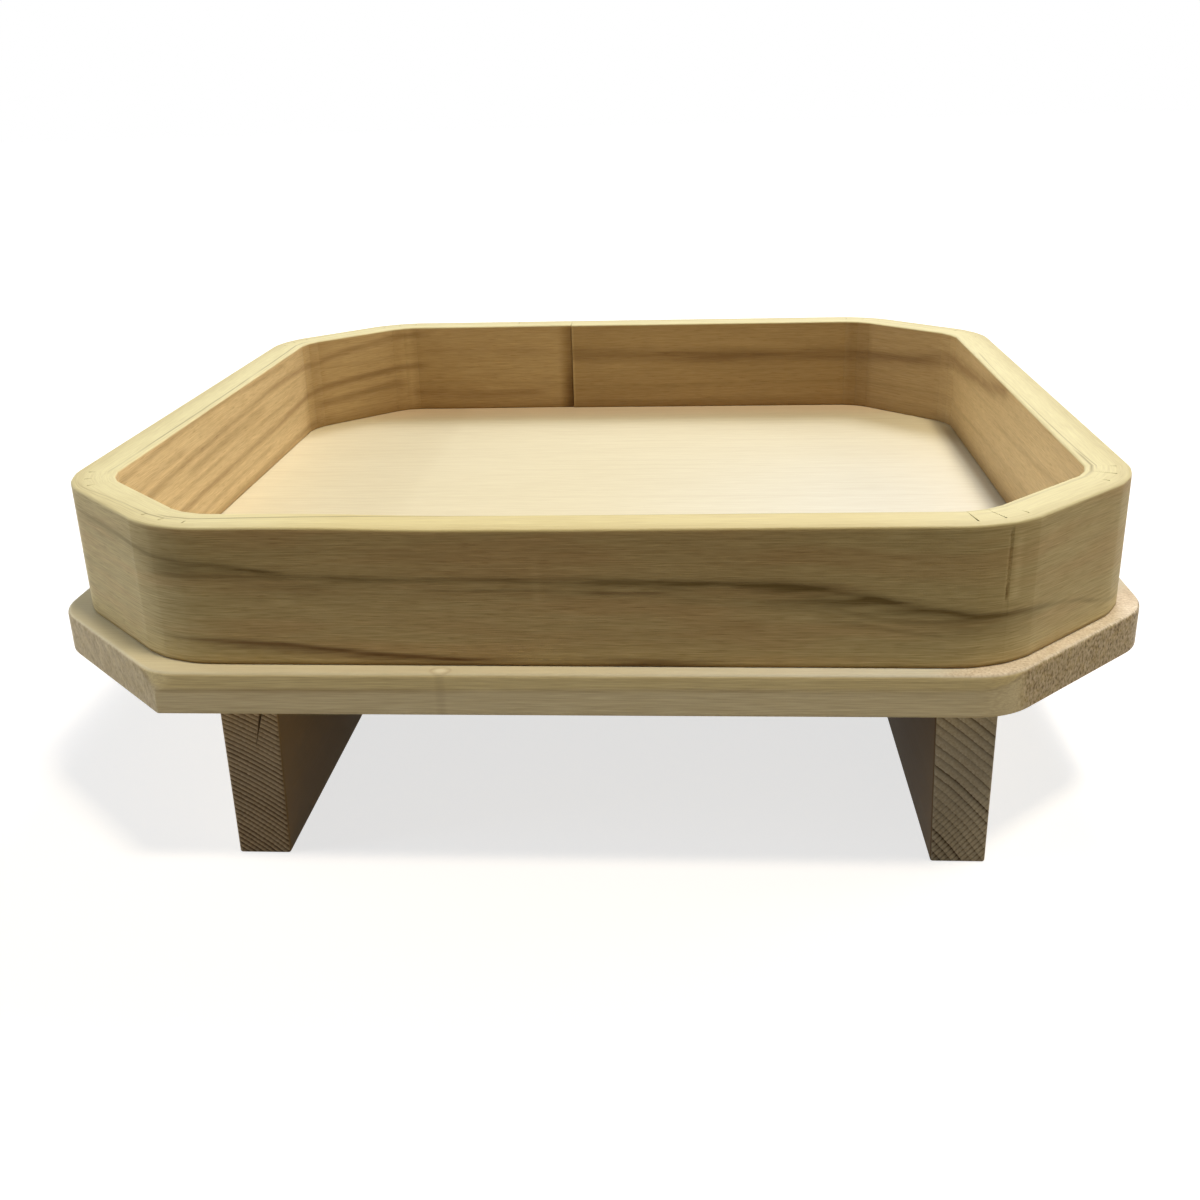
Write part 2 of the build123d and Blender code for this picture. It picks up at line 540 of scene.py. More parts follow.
class Signal:
    """An output of a shader node, which can be reckoned with like a number."""

    def __init__(self, socket):
        self.socket = socket

    def math(self, operation, *others, clamp=False):
        node = self.socket.id_data.nodes.new("ShaderNodeMath")
        node.operation = operation
        node.use_clamp = clamp
        for place, value in enumerate((self, *others)):
            feed(value, node.inputs[place])
        return Signal(node.outputs[0])

    def __add__(self, other):
        return self.math("ADD", other)

    def __sub__(self, other):
        return self.math("SUBTRACT", other)

    def __rsub__(self, other):
        return self.math("MULTIPLY_ADD", -1.0, other)

    def __mul__(self, other):
        return self.math("MULTIPLY", other)

    def __truediv__(self, other):
        return self.math("DIVIDE", other)

    __radd__ = __add__
    __rmul__ = __mul__

    def power(self, exponent):
        return self.math("POWER", exponent)

    def fraction(self):
        return self.math("FRACT")

    def floor(self):
        return self.math("FLOOR")

    def size(self):
        return self.math("ABSOLUTE")

    def step(self, low, high, smooth=True):
        """Rises from 0 to 1 while the signal goes from low to high."""
        node = self.socket.id_data.nodes.new("ShaderNodeMapRange")
        node.interpolation_type = "SMOOTHSTEP" if smooth else "LINEAR"
        feed(self, node.inputs["Value"])
        feed(low, node.inputs["From Min"])
        feed(high, node.inputs["From Max"])
        return Signal(node.outputs["Result"])

    def clamped(self):
        """The signal, kept between 0 and 1."""
        return self.math("ADD", 0.0, clamp=True)

    def bump(self, width):
        """1 where the signal is 0, falling smoothly to 0 at width on both sides."""
        return 1 - self.size().step(0.0, width)


def feed(value, socket):
    """Links a signal to a socket, or writes a plain number there."""
    if isinstance(value, Signal):
        value.socket.id_data.links.new(value.socket, socket)
    else:
        socket.default_value = value


def to_linear(red, green, blue):
    """A colour as the photograph's 0 to 255 values, for a shader."""
    def channel(value):
        value /= 255
        return value / 12.92 if value <= 0.04045 else ((value + 0.055) / 1.055) ** 2.4
    return (channel(red), channel(green), channel(blue), 1.0)


class Surface:
    """A material being built, with the coordinates of the straight wood in millimetres."""

    def __init__(self, name, along, across, through, from_attribute=False):
        self.material = bpy.data.materials.new(name)
        self.material.use_nodes = True
        self.tree = self.material.node_tree
        self.shader = self.tree.nodes["Principled BSDF"]
        if from_attribute:
            source = self.tree.nodes.new("ShaderNodeAttribute")
            source.attribute_name = "grain"
            vector = source.outputs["Vector"]
        else:
            source = self.tree.nodes.new("ShaderNodeTexCoord")
            vector = source.outputs["Object"]
        split = self.tree.nodes.new("ShaderNodeSeparateXYZ")
        self.tree.links.new(vector, split.inputs[0])
        ways = {axis: Signal(split.outputs[axis]) * (1 / MM) for axis in "XYZ"}
        self.along, self.across, self.through = ways[along], ways[across], ways[through]

    def noise(self, places, detail=2.0, roughness=0.5, distortion=0.0):
        """Soft noise between 0 and 1 at a place given by three signals or numbers."""
        join = self.tree.nodes.new("ShaderNodeCombineXYZ")
        for index, place in enumerate(places):
            feed(place, join.inputs[index])
        node = self.tree.nodes.new("ShaderNodeTexNoise")
        node.inputs["Scale"].default_value = 1.0
        node.inputs["Detail"].default_value = detail
        node.inputs["Roughness"].default_value = roughness
        node.inputs["Distortion"].default_value = distortion
        self.tree.links.new(join.outputs[0], node.inputs["Vector"])
        return Signal(node.outputs["Fac"])

    def fibres(self, length, width, detail=3.0, shift=0.0):
        """Noise drawn out along the grain: about length by width, in millimetres."""
        places = (self.along / length + shift, self.across / width, self.through / width)
        return self.noise(places, detail)

    def chance(self, number):
        """A fixed random number between 0 and 1 for each whole number."""
        node = self.tree.nodes.new("ShaderNodeTexWhiteNoise")
        node.noise_dimensions = "1D"
        feed(number, node.inputs["W"])
        return Signal(node.outputs["Value"])

    def curve(self, signal, knots, heights, smooth=True):
        """A curve through given points (place, height), read at the signal."""
        low, high = knots[0][0], knots[-1][0]
        bottom, top = heights
        node = self.tree.nodes.new("ShaderNodeFloatCurve")
        line = node.mapping.curves[0]
        scaled = [((at - low) / (high - low), (level - bottom) / (top - bottom)) for at, level in knots]
        line.points[0].location = scaled[0]
        line.points[-1].location = scaled[-1]
        for place in scaled[1:-1]:
            line.points.new(*place)
        for point in line.points:
            point.handle_type = "AUTO_CLAMPED" if smooth else "VECTOR"
        node.mapping.update()
        feed(((signal - low) / (high - low)).clamped(), node.inputs["Value"])
        return Signal(node.outputs[0]) * (top - bottom) + bottom

    def blend(self, share, under, over):
        """Mixes two colours, each a tuple or a colour socket."""
        node = self.tree.nodes.new("ShaderNodeMix")
        node.data_type = "RGBA"
        feed(share, node.inputs["Factor"])
        for value, socket in ((under, node.inputs[6]), (over, node.inputs[7])):
            if isinstance(value, tuple):
                socket.default_value = value
            else:
                self.tree.links.new(value, socket)
        return node.outputs[2]

    def tone(self, colour, depth):
        """Darkens towards brown where depth is below 1, and bleaches where it is above."""
        join = self.tree.nodes.new("ShaderNodeCombineXYZ")
        for index, exponent in enumerate((1.0, 1.2, 1.55)):
            feed(depth.power(exponent), join.inputs[index])
        node = self.tree.nodes.new("ShaderNodeVectorMath")
        node.operation = "MULTIPLY"
        self.tree.links.new(colour, node.inputs[0])
        self.tree.links.new(join.outputs[0], node.inputs[1])
        return node.outputs[0]

    def facing(self, axis):
        """How squarely the surface faces along an axis of the object, from 0 to 1."""
        node = self.tree.nodes.new("ShaderNodeNewGeometry")
        split = self.tree.nodes.new("ShaderNodeSeparateXYZ")
        self.tree.links.new(node.outputs["Normal"], split.inputs[0])
        return Signal(split.outputs[axis]).size()

    def finish(self, colour, roughness, relief, relief_height, gloss):
        """Connects the shader. relief_height is in millimetres, gloss the specular level."""
        self.tree.links.new(colour, self.shader.inputs["Base Color"])
        feed(roughness, self.shader.inputs["Roughness"])
        self.shader.inputs["Specular IOR Level"].default_value = gloss
        bump = self.tree.nodes.new("ShaderNodeBump")
        bump.inputs["Strength"].default_value = 1.0
        bump.inputs["Distance"].default_value = relief_height * MM
        feed(relief, bump.inputs["Height"])
        self.tree.links.new(bump.outputs[0], self.shader.inputs["Normal"])
        return self.material


def ring_distance(wood, pith, wander):
    """Distance from the pith of the trunk, at (across, through), with some sway in it."""
    sway = wood.noise((wood.along / 90, wood.across / 40, wood.through / 40), detail=2.0) - 0.5
    ripple = wood.noise((wood.along / 22, wood.across / 7, wood.through / 7), detail=2.0) - 0.5
    aside = wood.across - pith[0] + sway * wander
    below = wood.through - pith[1] + ripple * wander * 0.18
    return (aside * aside + below * below).power(0.5)


def latewood_lines(wood, distance, spacing, sharpness, evenness=0.25):
    """Dark side of each growth ring, of a different strength for each ring."""
    phase = distance / spacing
    within = phase.fraction()
    late = within.power(sharpness) * (1 - within.step(0.9, 1.0))
    return late * (evenness + (1 - evenness) * wood.chance(phase.floor()))


# Colours of the bare wood
RIM_OUTSIDE = to_linear(199, 180, 129)
RIM_BROWN = to_linear(196, 166, 116)
RIM_INSIDE = to_linear(205, 177, 128)
RIM_TOP = to_linear(229, 219, 168)
STREAK = to_linear(114, 94, 50)
INNER_STREAK = to_linear(134, 100, 60)
RIM_TOP_YELLOW = to_linear(221, 203, 140)
RUST = to_linear(112, 82, 44)
BOARD_TOP = to_linear(234, 224, 188)
BOARD_SIDE = to_linear(245, 231, 191)
BOARD_YELLOW = to_linear(245, 226, 166)
BOARD_WHITE = to_linear(236, 233, 214)
BOARD_PINK = to_linear(233, 205, 170)
BOARD_LINE = to_linear(172, 146, 106)
END_VIOLET = to_linear(196, 172, 152)
KNOT = to_linear(255, 246, 214)


class Strip:
    """The rim's wood, with s along the strip, z up its faces and t in from the outer face."""

    def __init__(self):
        self.wood = wood = Surface("rim_wood", "X", "Z", "Y", from_attribute=True)
        self.s, self.z, self.t = wood.along, wood.across, wood.through
        self.inner = self.t.step(rim_wall / 2 - 0.3, rim_wall / 2 + 0.3)
        self.outer = 1 - self.inner
        self.top = self.z.step(rim_height - 0.32, rim_height - 0.1)
        self.fibre = wood.fibres(10, 0.34, detail=3.0)
        self.thread = wood.fibres(3.6, 0.15, detail=1.5, shift=31.0)
        self.patch = wood.fibres(15, 1.3, detail=2.0, shift=5.0).step(0.36, 0.62)
        self.sway = wood.fibres(24, 9, detail=2.0, shift=7.0) - 0.5

    def reach(self, start, end, fade=8.0):
        """1 between two places along the strip, fading over a stretch inside them."""
        return self.s.step(start, start + fade) * (1 - self.s.step(end - fade, end))

    def above(self, knots, sway=0.7):
        """Height above a wavy line along a face, through given points (s, z)."""
        line = self.wood.curve(self.s, knots, (0.0, rim_height))
        return self.z - line + self.sway * sway + (self.fibre - 0.5) * 0.35

    def streak(self, knots, width, fade=8.0):
        """A dark line of that half width along a face, from the first point to the last."""
        return self.above(knots).bump(width) * self.reach(knots[0][0], knots[-1][0], fade)

    def top_line(self, knots, width=0.26, fade=6.0):
        """A growth line on the top edge, through given points (s, t)."""
        line = self.wood.curve(self.s, knots, (0.0, rim_wall))
        off = self.t - line + self.sway * 0.3
        return off.bump(width) * self.reach(knots[0][0], knots[-1][0], fade) * self.top


def front_streaks(strip):
    """Dark and rusty streaks round the front of the rim's outer face."""
    s = strip.s
    over = strip.above([
        (150, 17.0), (168, 16.2), (180, 15.5), (195, 14.9), (201, 14.0), (204, 13.7), (210, 13.3),
        (216, 12.4), (222, 11.7), (235, 11.5), (257, 11.4), (274, 10.9), (282, 10.6), (288, 9.8),
        (293, 8.6), (299, 7.5), (305, 6.6), (309, 6.5), (316, 5.8), (322, 4.6), (329, 2.8), (345, 0.5),
    ])
    core_strength = strip.wood.curve(s, [
        (150, 0.0), (172, 0.18), (190, 0.35), (204, 0.5), (222, 0.72), (257, 0.62), (275, 0.5),
        (288, 0.42), (300, 0.5), (316, 0.45), (329, 0.35), (345, 0.0),
    ], (0.0, 1.0))
    halo_strength = strip.wood.curve(s, [
        (150, 0.1), (180, 0.22), (196, 0.25), (204, 0.62), (216, 0.5), (235, 0.3), (257, 0.42),
        (275, 0.6), (287, 0.95), (299, 0.75), (313, 0.3), (335, 0.0), (345, 0.0),
    ], (0.0, 1.0))
    core = over.bump(0.62) * core_strength * (0.45 + 0.45 * strip.patch)
    halo = over.step(-4.2, -0.3) * (1 - over.step(-0.1, 1.5))
    halo = halo * halo_strength * (0.45 + 0.55 * strip.patch) * (0.5 + strip.fibre)
    second = (over + 1.2).bump(0.8) * strip.reach(216, 290, 14) * (0.15 + 0.35 * strip.patch)
    fan = strip.streak([(196, 12.3), (203, 11.9), (209, 12.0), (215, 11.9), (224, 11.3)], 0.9) * 0.65
    fan_low = strip.streak([(200, 13.2), (207, 12.8), (213, 12.4), (219, 12.0)], 0.8, 5) * 0.5
    wisp = strip.streak([(276, 9.3), (284, 8.2), (291, 6.8), (298, 5.6)], 1.0, 8) * 0.4
    wisp_low = strip.streak([(280, 6.9), (288, 6.0), (297, 4.6), (306, 3.8)], 0.9, 8) * 0.3
    low = strip.streak([
        (194, 3.6), (202, 3.4), (210, 3.3), (216, 3.0), (224, 2.1), (232, 1.3), (244, 0.8), (262, 0.3),
    ], 0.6, 10) * (0.6 + 0.4 * strip.patch)
    low_shade = strip.streak([(203, 2.7), (214, 2.5), (222, 1.7), (232, 0.9), (250, 0.4)], 1.4, 10)
    dark = (core + halo).math("MAXIMUM", second).math("MAXIMUM", fan).math("MAXIMUM", fan_low)
    dark = dark.math("MAXIMUM", wisp).math("MAXIMUM", wisp_low)
    rust = (low * 0.5 + low_shade * 0.6 * (0.3 + 0.7 * strip.patch)).math("MINIMUM", 1.0)
    foot_band = (strip.z - 0.5).bump(1.3) * strip.reach(222, 278, 16) * (0.3 + 0.5 * strip.patch)
    dash = strip.streak([(254, 10.0), (261, 9.9), (268, 9.8)], 0.4, 4) * 0.55
    rust = rust.math("MAXIMUM", foot_band).math("MAXIMUM", dash)
    above_main = over.step(-1.4, 1.2) * strip.reach(188, 345, 14)
    return dark * strip.outer, rust * strip.outer, above_main * strip.outer


def inner_streaks(strip):
    """Soft lengthwise streaks on the rim's inner face."""
    lines = [
        ([(30, 10.2), (47, 9.6), (56, 9.1), (70, 7.8), (112, 6.4), (145, 5.6), (178, 4.4)], 1.3, 0.55),
        ([(30, 17.2), (47, 16.5), (56, 15.4), (69, 13.9), (91, 14.2), (131, 13.1), (160, 11.7),
          (180, 10.6)], 1.2, 0.5),
        ([(84, 17.0), (102, 17.5), (133, 18.0), (166, 16.6), (182, 15.0)], 0.9, 0.4),
        ([(66, 1.6), (90, 1.2), (118, 0.7), (140, 0.2)], 1.2, 0.3),
        ([(100, 11.8), (114, 11.6), (131, 11.0), (146, 10.4)], 1.8, 0.35),
        ([(78, 9.8), (100, 9.6), (124, 8.9), (150, 8.3), (176, 8.0)], 0.8, 0.3),
        ([(96, 3.9), (120, 3.4), (150, 2.4), (176, 2.0)], 0.9, 0.3),
        ([(140, 14.6), (152, 14.4), (164, 13.6), (178, 12.8)], 1.0, 0.35),
        ([(38, 6.4), (50, 6.2), (60, 5.2), (70, 4.6)], 1.4, 0.4),
        ([(384, 18.3), (392, 17.0), (404, 15.4), (420, 14.2), (441, 13.0), (456, 11.6), (471, 11.2),
          (503, 11.3), (533, 12.0), (545, 12.2)], 2.6, 0.6),
        ([(346, 12.4), (366, 11.4), (384, 11.0), (402, 10.2)], 0.9, 0.25),
        ([(345, 5.2), (372, 5.8), (398, 6.0), (424, 5.0)], 0.8, 0.22),
        ([(4, 3.6), (12, 3.4), (20, 3.2), (30, 3.6), (42, 4.0)], 1.6, 0.4),
        ([(2, 13.2), (14, 13.0), (28, 13.4), (36, 13.2)], 1.0, 0.2),
    ]
    dark = None
    for knots, width, strength in lines:
        line = strip.streak(knots, width, fade=6.0) * strength * (0.6 + 0.4 * strip.patch)
        dark = line if dark is None else dark.math("MAXIMUM", line)
    return dark * strip.inner


def top_lines(strip):
    """Growth lines on the planed top edge."""
    lines = [
        strip.top_line([(64, 4.4), (90, 4.9), (120, 5.0), (158, 4.9), (172, 4.7)]) * 0.7,
        strip.top_line([(172, 0.9), (178, 1.2), (186, 2.0), (195, 2.5), (205, 3.0)]) * 0.9,
        strip.top_line([(168, 0.5), (178, 0.8), (188, 1.5), (198, 1.9)], 0.2) * 0.6,
        strip.top_line([
            (196, 3.1), (204, 3.6), (212, 4.1), (220, 4.5), (229, 5.2), (240, 5.7), (282, 5.75),
            (300, 5.7), (314, 5.2), (340, 5.1), (350, 5.2),
        ], 0.34) * 0.75,
        strip.top_line([(336, 4.4), (350, 4.9), (392, 5.2), (420, 4.8)], 0.2) * 0.6,
        strip.top_line([(446, 3.0), (480, 3.8), (520, 3.4), (545, 3.2)]) * 0.5,
        strip.top_line([(0, 2.6), (24, 3.0), (50, 3.6), (66, 3.9)]) * 0.5,
    ]
    dark = lines[0]
    for line in lines[1:]:
        dark = dark.math("MAXIMUM", line)
    return dark * (0.35 + 0.65 * strip.wood.fibres(22, 4, detail=1.0, shift=13.0).step(0.35, 0.6))


def rim_wood():
    """Pale flat-sawn strip with a few dark streaks, darker towards the back wall partly in its colour and partly
    as painted shade.
    """
    strip = Strip()
    wood, s = strip.wood, strip.s

    front_dark, front_rust, above_main = front_streaks(strip)
    drawn = strip.outer * strip.reach(176, 348, 12)
    rings = latewood_lines(wood, ring_distance(wood, pith=(-34.0, 30.0), wander=6.0), 2.9, 4.0)
    rings = rings * (0.42 - drawn * 0.34 - strip.inner * 0.24)
    dark = front_dark.math("MAXIMUM", rings) * (1 - strip.top)
    inner_dark = inner_streaks(strip) * (1 - strip.top)
    growth = top_lines(strip)

    # Colour of the clear wood round the outer and the inner face, partly wood colour and partly painted light and
    # shade: the inner face lighter along the left-hand wall and darker towards the back wall
    outer_tone_and_light = wood.curve(s, [
        (0, 1.0), (62, 1.02), (150, 1.05), (166, 1.14), (194, 1.19), (203, 1.03), (212, 0.98),
        (280, 0.97), (294, 1.0), (304, 1.04), (314, 1.1), (330, 1.1), (345, 1.02), (545, 1.0),
    ], (0.4, 1.4))
    inner_tone_and_light = wood.curve(s, [
        (0, 0.78), (36.2, 0.76), (37.2, 0.88), (39.9, 0.88), (40.8, 0.79), (60, 0.85), (68, 0.74),
        (72, 0.86), (76, 1.02), (110, 1.12), (166, 1.22), (180, 1.1), (320, 1.1), (342, 1.18),
        (380, 1.06), (430, 0.9), (440, 0.8), (447, 0.72), (462, 0.68), (464.5, 0.57), (471.5, 0.55),
        (473, 0.65), (545, 0.65),
    ], (0.4, 1.4), smooth=False)
    depth = outer_tone_and_light * strip.outer + inner_tone_and_light * strip.inner
    depth = depth + 0.06 * strip.outer - above_main * (0.1 + 0.08 * strip.z.step(12, 17.5))

    # Painted shadow beside the joint, where the left-hand end lies behind the right-hand one and its step shades
    # it, a lighter line along the edge of the right-hand end, and painted shade along the foot of the inner face
    joint_step_shadow = strip.inner * (1 - s.step(0.3, 3.4))
    low_down = 1 - strip.z.step(2.0, rim_height)
    depth = depth * (1 - joint_step_shadow * (0.35 + 0.3 * low_down))
    joint_edge = (s - hoop_length + 0.3).bump(0.4) * strip.inner
    depth = depth * (1 + joint_edge * 0.15) * (1 - strip.inner * (1 - strip.z.step(0.0, 2.6)) * 0.24)

    # Painted shade in the corner over the board's ledge, and a ragged dark line of painted shade in the crease
    # over a kerf, with a lighter strip beside it
    depth = depth * (1 - (strip.z - 0.1).bump(0.6) * strip.outer * 0.55)
    beside_crease = strip.outer * strip.z.step(8.2, 9.2) * (1 - strip.z.step(16.6, 17.6))
    ragged = wood.noise((s / 0.6, strip.z / 0.9, 0.0), detail=1.0)
    crease_shade_line = (s - crease_s + (ragged - 0.5) * 0.6).bump(0.34) * ragged.step(0.35, 0.6)
    crease_shade_line = crease_shade_line * (0.55 - 0.35 * strip.z.step(9.0, 12.5))
    crease_light = (s - crease_s - 1.2).bump(1.2) * 0.16
    depth = depth * (1 + beside_crease * (crease_light - crease_shade_line))

    # The foot of the right-hand wall lies in its own shade
    right_wall = strip.inner * strip.reach(330, 440, 14)
    depth = depth * (1 - right_wall * (1 - strip.z.step(0.5, 6.5)) * 0.24)

    # Pale mark across the front streak, and clouds, mottling, fibres and pores over the faces
    pale_mark = (s - 249.6).bump(1.0) * strip.z.step(8.0, 9.5) * (1 - strip.z.step(13.5, 15.0))
    depth = depth * (1 + pale_mark * 0.08 * strip.outer)
    cloud = wood.fibres(45, 7, detail=2.0)
    mottle = wood.fibres(7, 2.2, detail=2.0, shift=43.0)
    depth = depth + (cloud - 0.5) * 0.16 + (mottle - 0.5) * 0.08
    face_texture = (strip.fibre - 0.5) * 0.5 + (strip.thread - 0.5) * 0.62
    pores = wood.fibres(2.4, 0.13, detail=0.0, shift=57.0).step(0.64, 0.76)
    depth = depth * (1 + face_texture * (1 - strip.inner * 0.35)) * (1 - pores * 0.14)

    brown = wood.fibres(26, 3.2, detail=2.0, shift=71.0).step(0.42, 0.68)
    browner = strip.reach(198, 300, 30) * 0.4
    outside = wood.blend(brown * 0.5 + browner, RIM_OUTSIDE, RIM_BROWN)
    face = wood.blend(strip.inner, outside, RIM_INSIDE)
    colour = wood.blend(dark.math("MINIMUM", 1.0), face, STREAK)
    colour = wood.blend(inner_dark, colour, INNER_STREAK)
    colour = wood.blend(front_rust * (1 - strip.top), colour, RUST)
    colour = wood.tone(colour, depth)
    worn_outside = 1 - strip.t.step(0.0, 3.4)
    top_depth = 1.02 - worn_outside * 0.15 + (cloud - 0.5) * 0.1 + (mottle - 0.5) * 0.1 + face_texture * 0.4
    front_top = strip.reach(205, 310, 24)
    clear_top = wood.blend(front_top * 0.6, RIM_TOP, RIM_TOP_YELLOW)
    top_colour = wood.tone(wood.blend(growth * 0.75, clear_top, STREAK), top_depth)
    colour = wood.blend(strip.top, colour, top_colour)
    relief = strip.fibre * 0.5 + strip.thread * 0.5 - dark * 0.3
    return wood.finish(colour, 0.55 + (strip.fibre - 0.5) * 0.2, relief, 0.035, gloss=0.15)


def board_wood():
    """Flat-sawn board with its grain from left to right and end grain at its sides."""
    wood = Surface("board_wood", "X", "Y", "Z")
    x, y, z = wood.along, wood.across, wood.through
    fibre = wood.fibres(16, 0.4, detail=3.0)
    thread = wood.fibres(5, 0.18, detail=1.5, shift=17.0)
    cloud = wood.fibres(70, 16, detail=2.0)
    on_top = z.step(board_high.z - 0.4, board_high.z - 0.1)
    end = wood.facing("X").step(0.45, 0.75)

    # Rings rise from the front edge towards the back: one shows as a line along the front
    front_ring_z = 26.2
    pith = (-38.5, -20.5)
    radius = sqrt((board_low.y - pith[0]) ** 2 + (front_ring_z - pith[1]) ** 2)
    distance = ring_distance(wood, pith, wander=1.6) - radius
    rings = latewood_lines(wood, distance + 60.0, 2.4, 3.0)
    broken = wood.fibres(26, 2, detail=2.0, shift=29.0).step(0.38, 0.6)
    in_front = (1 - on_top) * (1 - y.step(-70, -50))
    front_line = (distance - 0.1).bump(0.4) * in_front * (0.2 + 0.3 * broken)
    above_line = distance.step(-0.3, 0.5) * in_front

    dark = rings * (0.22 + 0.3 * end - 0.09 * on_top) + (fibre - 0.5) * 0.2
    dark = dark.math("MAXIMUM", front_line).clamped()
    base = wood.blend(on_top, BOARD_SIDE, BOARD_TOP)
    base = wood.blend(above_line * 0.7, base, BOARD_YELLOW)
    # Painted light: the board's top paler and whiter towards the front right, where the light falls brightest
    painted_light_front_right = on_top * x.step(-15, 55) * (1 - y.step(-15, 55))
    base = wood.blend(painted_light_front_right * 0.9, base, BOARD_WHITE)
    pink_corner = on_top * (x - y).step(117, 124)
    # Painted reflection of the brown back wall, a pink strip on the floor along it
    back_wall_reflection = on_top * y.step(54, 66)
    base = wood.blend(pink_corner * 0.5 + back_wall_reflection * 0.6, base, BOARD_PINK)
    colour = wood.blend(dark, base, BOARD_LINE)
    knot_x, knot_y = -17.1, -74.7
    aside, behind = (x - knot_x) / 1.3, y - knot_y
    knot = (aside * aside + behind * behind).power(0.5)
    colour = wood.blend((1 - knot.step(0.3, 0.75)) * 0.9, colour, KNOT)
    colour = wood.blend((knot - 0.95).bump(0.3) * 0.25, colour, BOARD_LINE)

    # Open ends of the fibres, coarser and darker on the right-hand side
    right = x.step(-5.0, 5.0)
    speck = wood.noise((x / 0.36, y / 0.36, z / 0.5), detail=1.5)
    stripe = wood.noise((x / 1.1 + z / 1.4, y / 1.1, z / 6.0), detail=1.0)
    coarse = right * 0.7 + 0.3
    yellow = wood.noise((x / 1.7, y / 1.7, z / 1.3), detail=1.5).step(0.48, 0.62)
    colour = wood.blend(end * yellow * (0.2 + right * 0.3), colour, BOARD_YELLOW)
    colour = wood.blend(end * speck.step(0.4, 0.7) * (0.25 + right * 0.3), colour, END_VIOLET)
    depth = 1 - end * (0.28 + right * 0.14)
    stripes = (stripe - 0.5) * (0.65 - right * 0.35)
    depth = depth * (1 + end * ((speck - 0.5) * coarse * 3.3 + stripes))
    # pale: lighter right of x = -36, and more painted light at the front right
    pale = x.step(-38, -34) * 0.03 + painted_light_front_right * 0.02
    # Painted shade on the top towards the back wall
    back_wall_shade = y.step(36, 68) * 0.12
    rough = pink_corner * ((speck - 0.5) * 0.8 + (stripe - 0.5) * 0.3)
    inside_x = board_high.x - ledge - rim_wall
    shaded = on_top * x.step(inside_x - 2.6, inside_x - 1.2) * y.step(-56, -46) * (1 - y.step(40, 50))
    side_texture = ((fibre - 0.5) * 0.25 + (thread - 0.5) * 0.3) * (1 - on_top) * (1 - end)
    depth = depth * (1 + (cloud - 0.5) * 0.12 + (thread - 0.5) * 0.2 + (pale - back_wall_shade) * on_top)
    colour = wood.tone(colour, depth * (1 + rough + side_texture) * (1 - shaded * 0.3))
    relief = fibre * 0.5 + thread * 0.5 - rings * 0.3
    return wood.finish(colour, 0.5 + (fibre - 0.5) * 0.2, relief, 0.03, gloss=0.15)


def foot_wood(name, colours, inner_x, outer_x, pith, spacing, sharpness, evenness, wander, saw_marks):
    """A plank with its grain from front to back, sawn end grain, and painted shade on its inner face and towards
    the ground.
    """
    wood = Surface(name, "Y", "X", "Z")
    # inner is the colour of the inner face, darkened as painted shade
    plain, line, inner = colours
    x, z = wood.across, wood.through
    end = wood.facing("Y").step(0.5, 0.9)
    fibre = wood.fibres(12, 0.35, detail=3.0)
    cloud = wood.fibres(60, 8, detail=2.0)
    speck = wood.noise((x / 0.3, wood.along / 0.3, z / 0.3), detail=1.5)
    distance = ring_distance(wood, pith, wander)
    rings = latewood_lines(wood, distance + (speck - 0.5) * 0.16, spacing, sharpness, evenness)
    rings = rings * (0.2 + 1.1 * end)

    # The saw left fine marks across the rings, clearest near the ground
    slope = radians(49)
    across_saw = (z * cos(slope) - x * sin(slope) + (speck - 0.5) * 0.15) / 0.62
    marks = (across_saw.fraction() - 0.5).bump(0.3) * end * (1 - z.step(2.0, 15.0)) * saw_marks

    dark = (rings + marks + (fibre - 0.5) * 0.2).clamped()
    colour = wood.blend(dark, plain, line)
    # Painted shade: darker towards the ground
    depth = 0.88 + 0.1 * z.step(0.0, 16.0) + (cloud - 0.5) * 0.16 + (fibre - 0.5) * 0.14
    depth = depth + (speck - 0.5) * 0.6 * end
    # Painted shade: the inner face takes the darker inner colour
    inner_face_shade = ((x - outer_x) / (inner_x - outer_x)).step(0.9, 0.96) * (1 - end)
    colour = wood.tone(wood.blend(inner_face_shade, colour, inner), depth)
    relief = fibre - rings * 0.5 + speck * 0.3
    return wood.finish(colour, 0.62 + (fibre - 0.5) * 0.2, relief, 0.04, gloss=0.05)


def left_foot_wood():
    """Fine, nearly straight rings."""
    low, high = node_box("left_foot")
    # The last colour is the inner face's, darkened as painted shade
    colours = to_linear(234, 215, 185), to_linear(110, 88, 65), to_linear(174, 147, 108)
    return foot_wood(
        "left_foot_wood", colours, high.x - foot_taper, low.x, pith=(-74.0, -36.0),
        spacing=0.62, sharpness=1.1, evenness=0.7, wander=0.8, saw_marks=0.15,
    )


def right_foot_wood():
    """Bold, wider rings."""
    low, high = node_box("right_foot")
    # The last colour is the inner face's, darkened as painted shade
    colours = to_linear(216, 206, 184), to_linear(84, 68, 49), to_linear(118, 97, 66)
    return foot_wood(
        "right_foot_wood", colours, low.x + foot_taper, high.x, pith=(14.7, -24.0),
        spacing=1.12, sharpness=2.8, evenness=0.3, wander=2.6, saw_marks=0.45,
    )


def bamboo():
    """Pegs of bamboo, with fine upright fibres."""
    wood = Surface("bamboo", "Z", "X", "Y")
    fibre = wood.fibres(8, 0.14, detail=3.0)
    colour = wood.blend(fibre.step(0.3, 0.7), to_linear(206, 170, 104), to_linear(168, 128, 70))
    return wood.finish(colour, 0.45 + (fibre - 0.5) * 0.2, fibre, 0.02, gloss=0.2)


